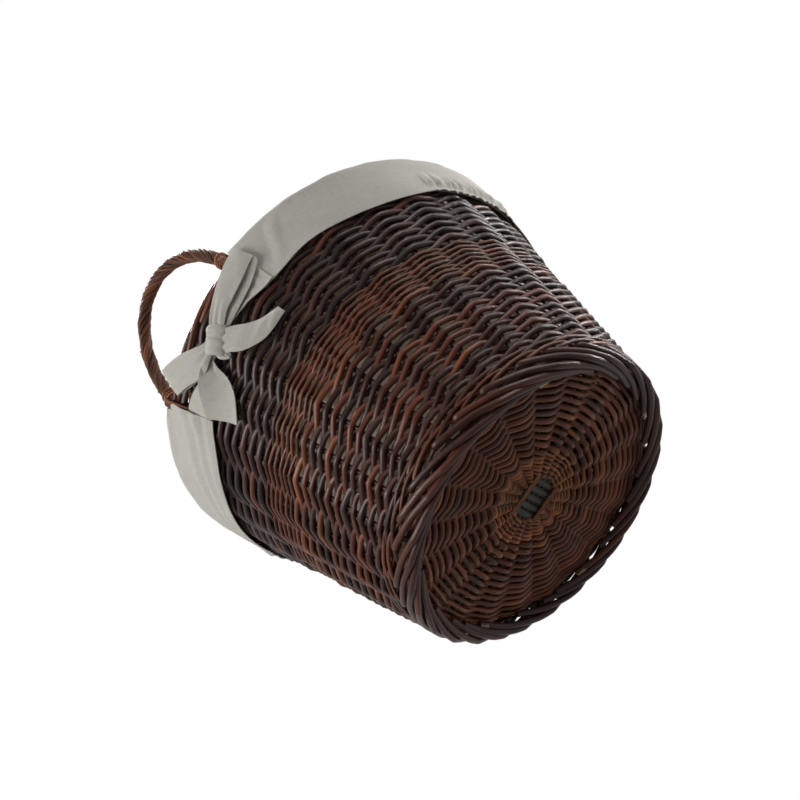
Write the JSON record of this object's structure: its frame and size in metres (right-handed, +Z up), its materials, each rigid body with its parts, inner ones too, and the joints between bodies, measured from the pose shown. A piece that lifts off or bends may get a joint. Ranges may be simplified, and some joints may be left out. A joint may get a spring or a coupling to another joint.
{
  "type": "wicker log basket",
  "caption": "Round tapered wicker basket for firewood, with upright twisted rod handles and a cloth liner whose cuff folds over the rim and ties under each handle.",
  "frame": {"origin": "on the floor, at the centre of the foot border; the box's bottom centre", "axes": "+Z up along the basket's axis; X runs from handle to handle; -X is the handle that the picture shows"},
  "size_m": [0.5626, 0.5484, 0.4771],
  "materials": {
    "dark_willow": "stained dark brown willow rods, satin",
    "red_willow": "thin red-brown willow rods, satin",
    "handle_willow": "lighter orange-brown twisted willow rods, satin",
    "stick_willow": "grey-brown thick willow sticks, matt",
    "linen": "plain woven cream-grey cotton and linen cloth",
    "elastic": "flat woven elastic"
  },
  "bodies": {
    "root": {"base_weave_centre": "red_willow", "base_weave_outer": "dark_willow", "cloth_liner": "linen", "cuff_elastic_back": "elastic", "cuff_elastic_front": "elastic", "fine_pairing": "red_willow", "foot_border": "dark_willow", "handle_tie_left_1": "handle_willow", "handle_tie_left_2": "handle_willow", "handle_tie_right_1": "handle_willow", "handle_tie_right_2": "handle_willow", "lower_pairing": "dark_willow", "pierced_stick_1": "stick_willow", "pierced_stick_2": "stick_willow", "pierced_stick_3": "stick_willow", "pierced_stick_4": "stick_willow", "pierced_stick_5": "stick_willow", "rope_handle_left": "handle_willow", "rope_handle_right": "handle_willow", "stake_01": "dark_willow", "stake_02": "dark_willow", "stake_03": "dark_willow", "stake_04": "dark_willow", "stake_05": "dark_willow", "stake_06": "dark_willow", "stake_07": "dark_willow", "stake_08": "dark_willow", "stake_09": "dark_willow", "stake_10": "dark_willow", "stake_11": "dark_willow", "stake_12": "dark_willow", "stake_13": "dark_willow", "stake_14": "dark_willow", "stake_15": "dark_willow", "stake_16": "dark_willow", "stake_17": "dark_willow", "stake_18": "dark_willow", "stake_19": "dark_willow", "stake_20": "dark_willow", "stake_21": "dark_willow", "stake_22": "dark_willow", "stake_23": "dark_willow", "stake_24": "dark_willow", "stake_25": "dark_willow", "stake_26": "dark_willow", "stake_27": "dark_willow", "stake_28": "dark_willow", "through_stick_1": "stick_willow", "through_stick_2": "stick_willow", "through_stick_3": "stick_willow", "through_stick_4": "stick_willow", "through_stick_5": "stick_willow", "tie_bow_left": "linen", "tie_bow_right": "linen", "top_border": "dark_willow", "upper_pairing": "dark_willow", "upsett_waling": "red_willow"}
  },
  "joints": []
}
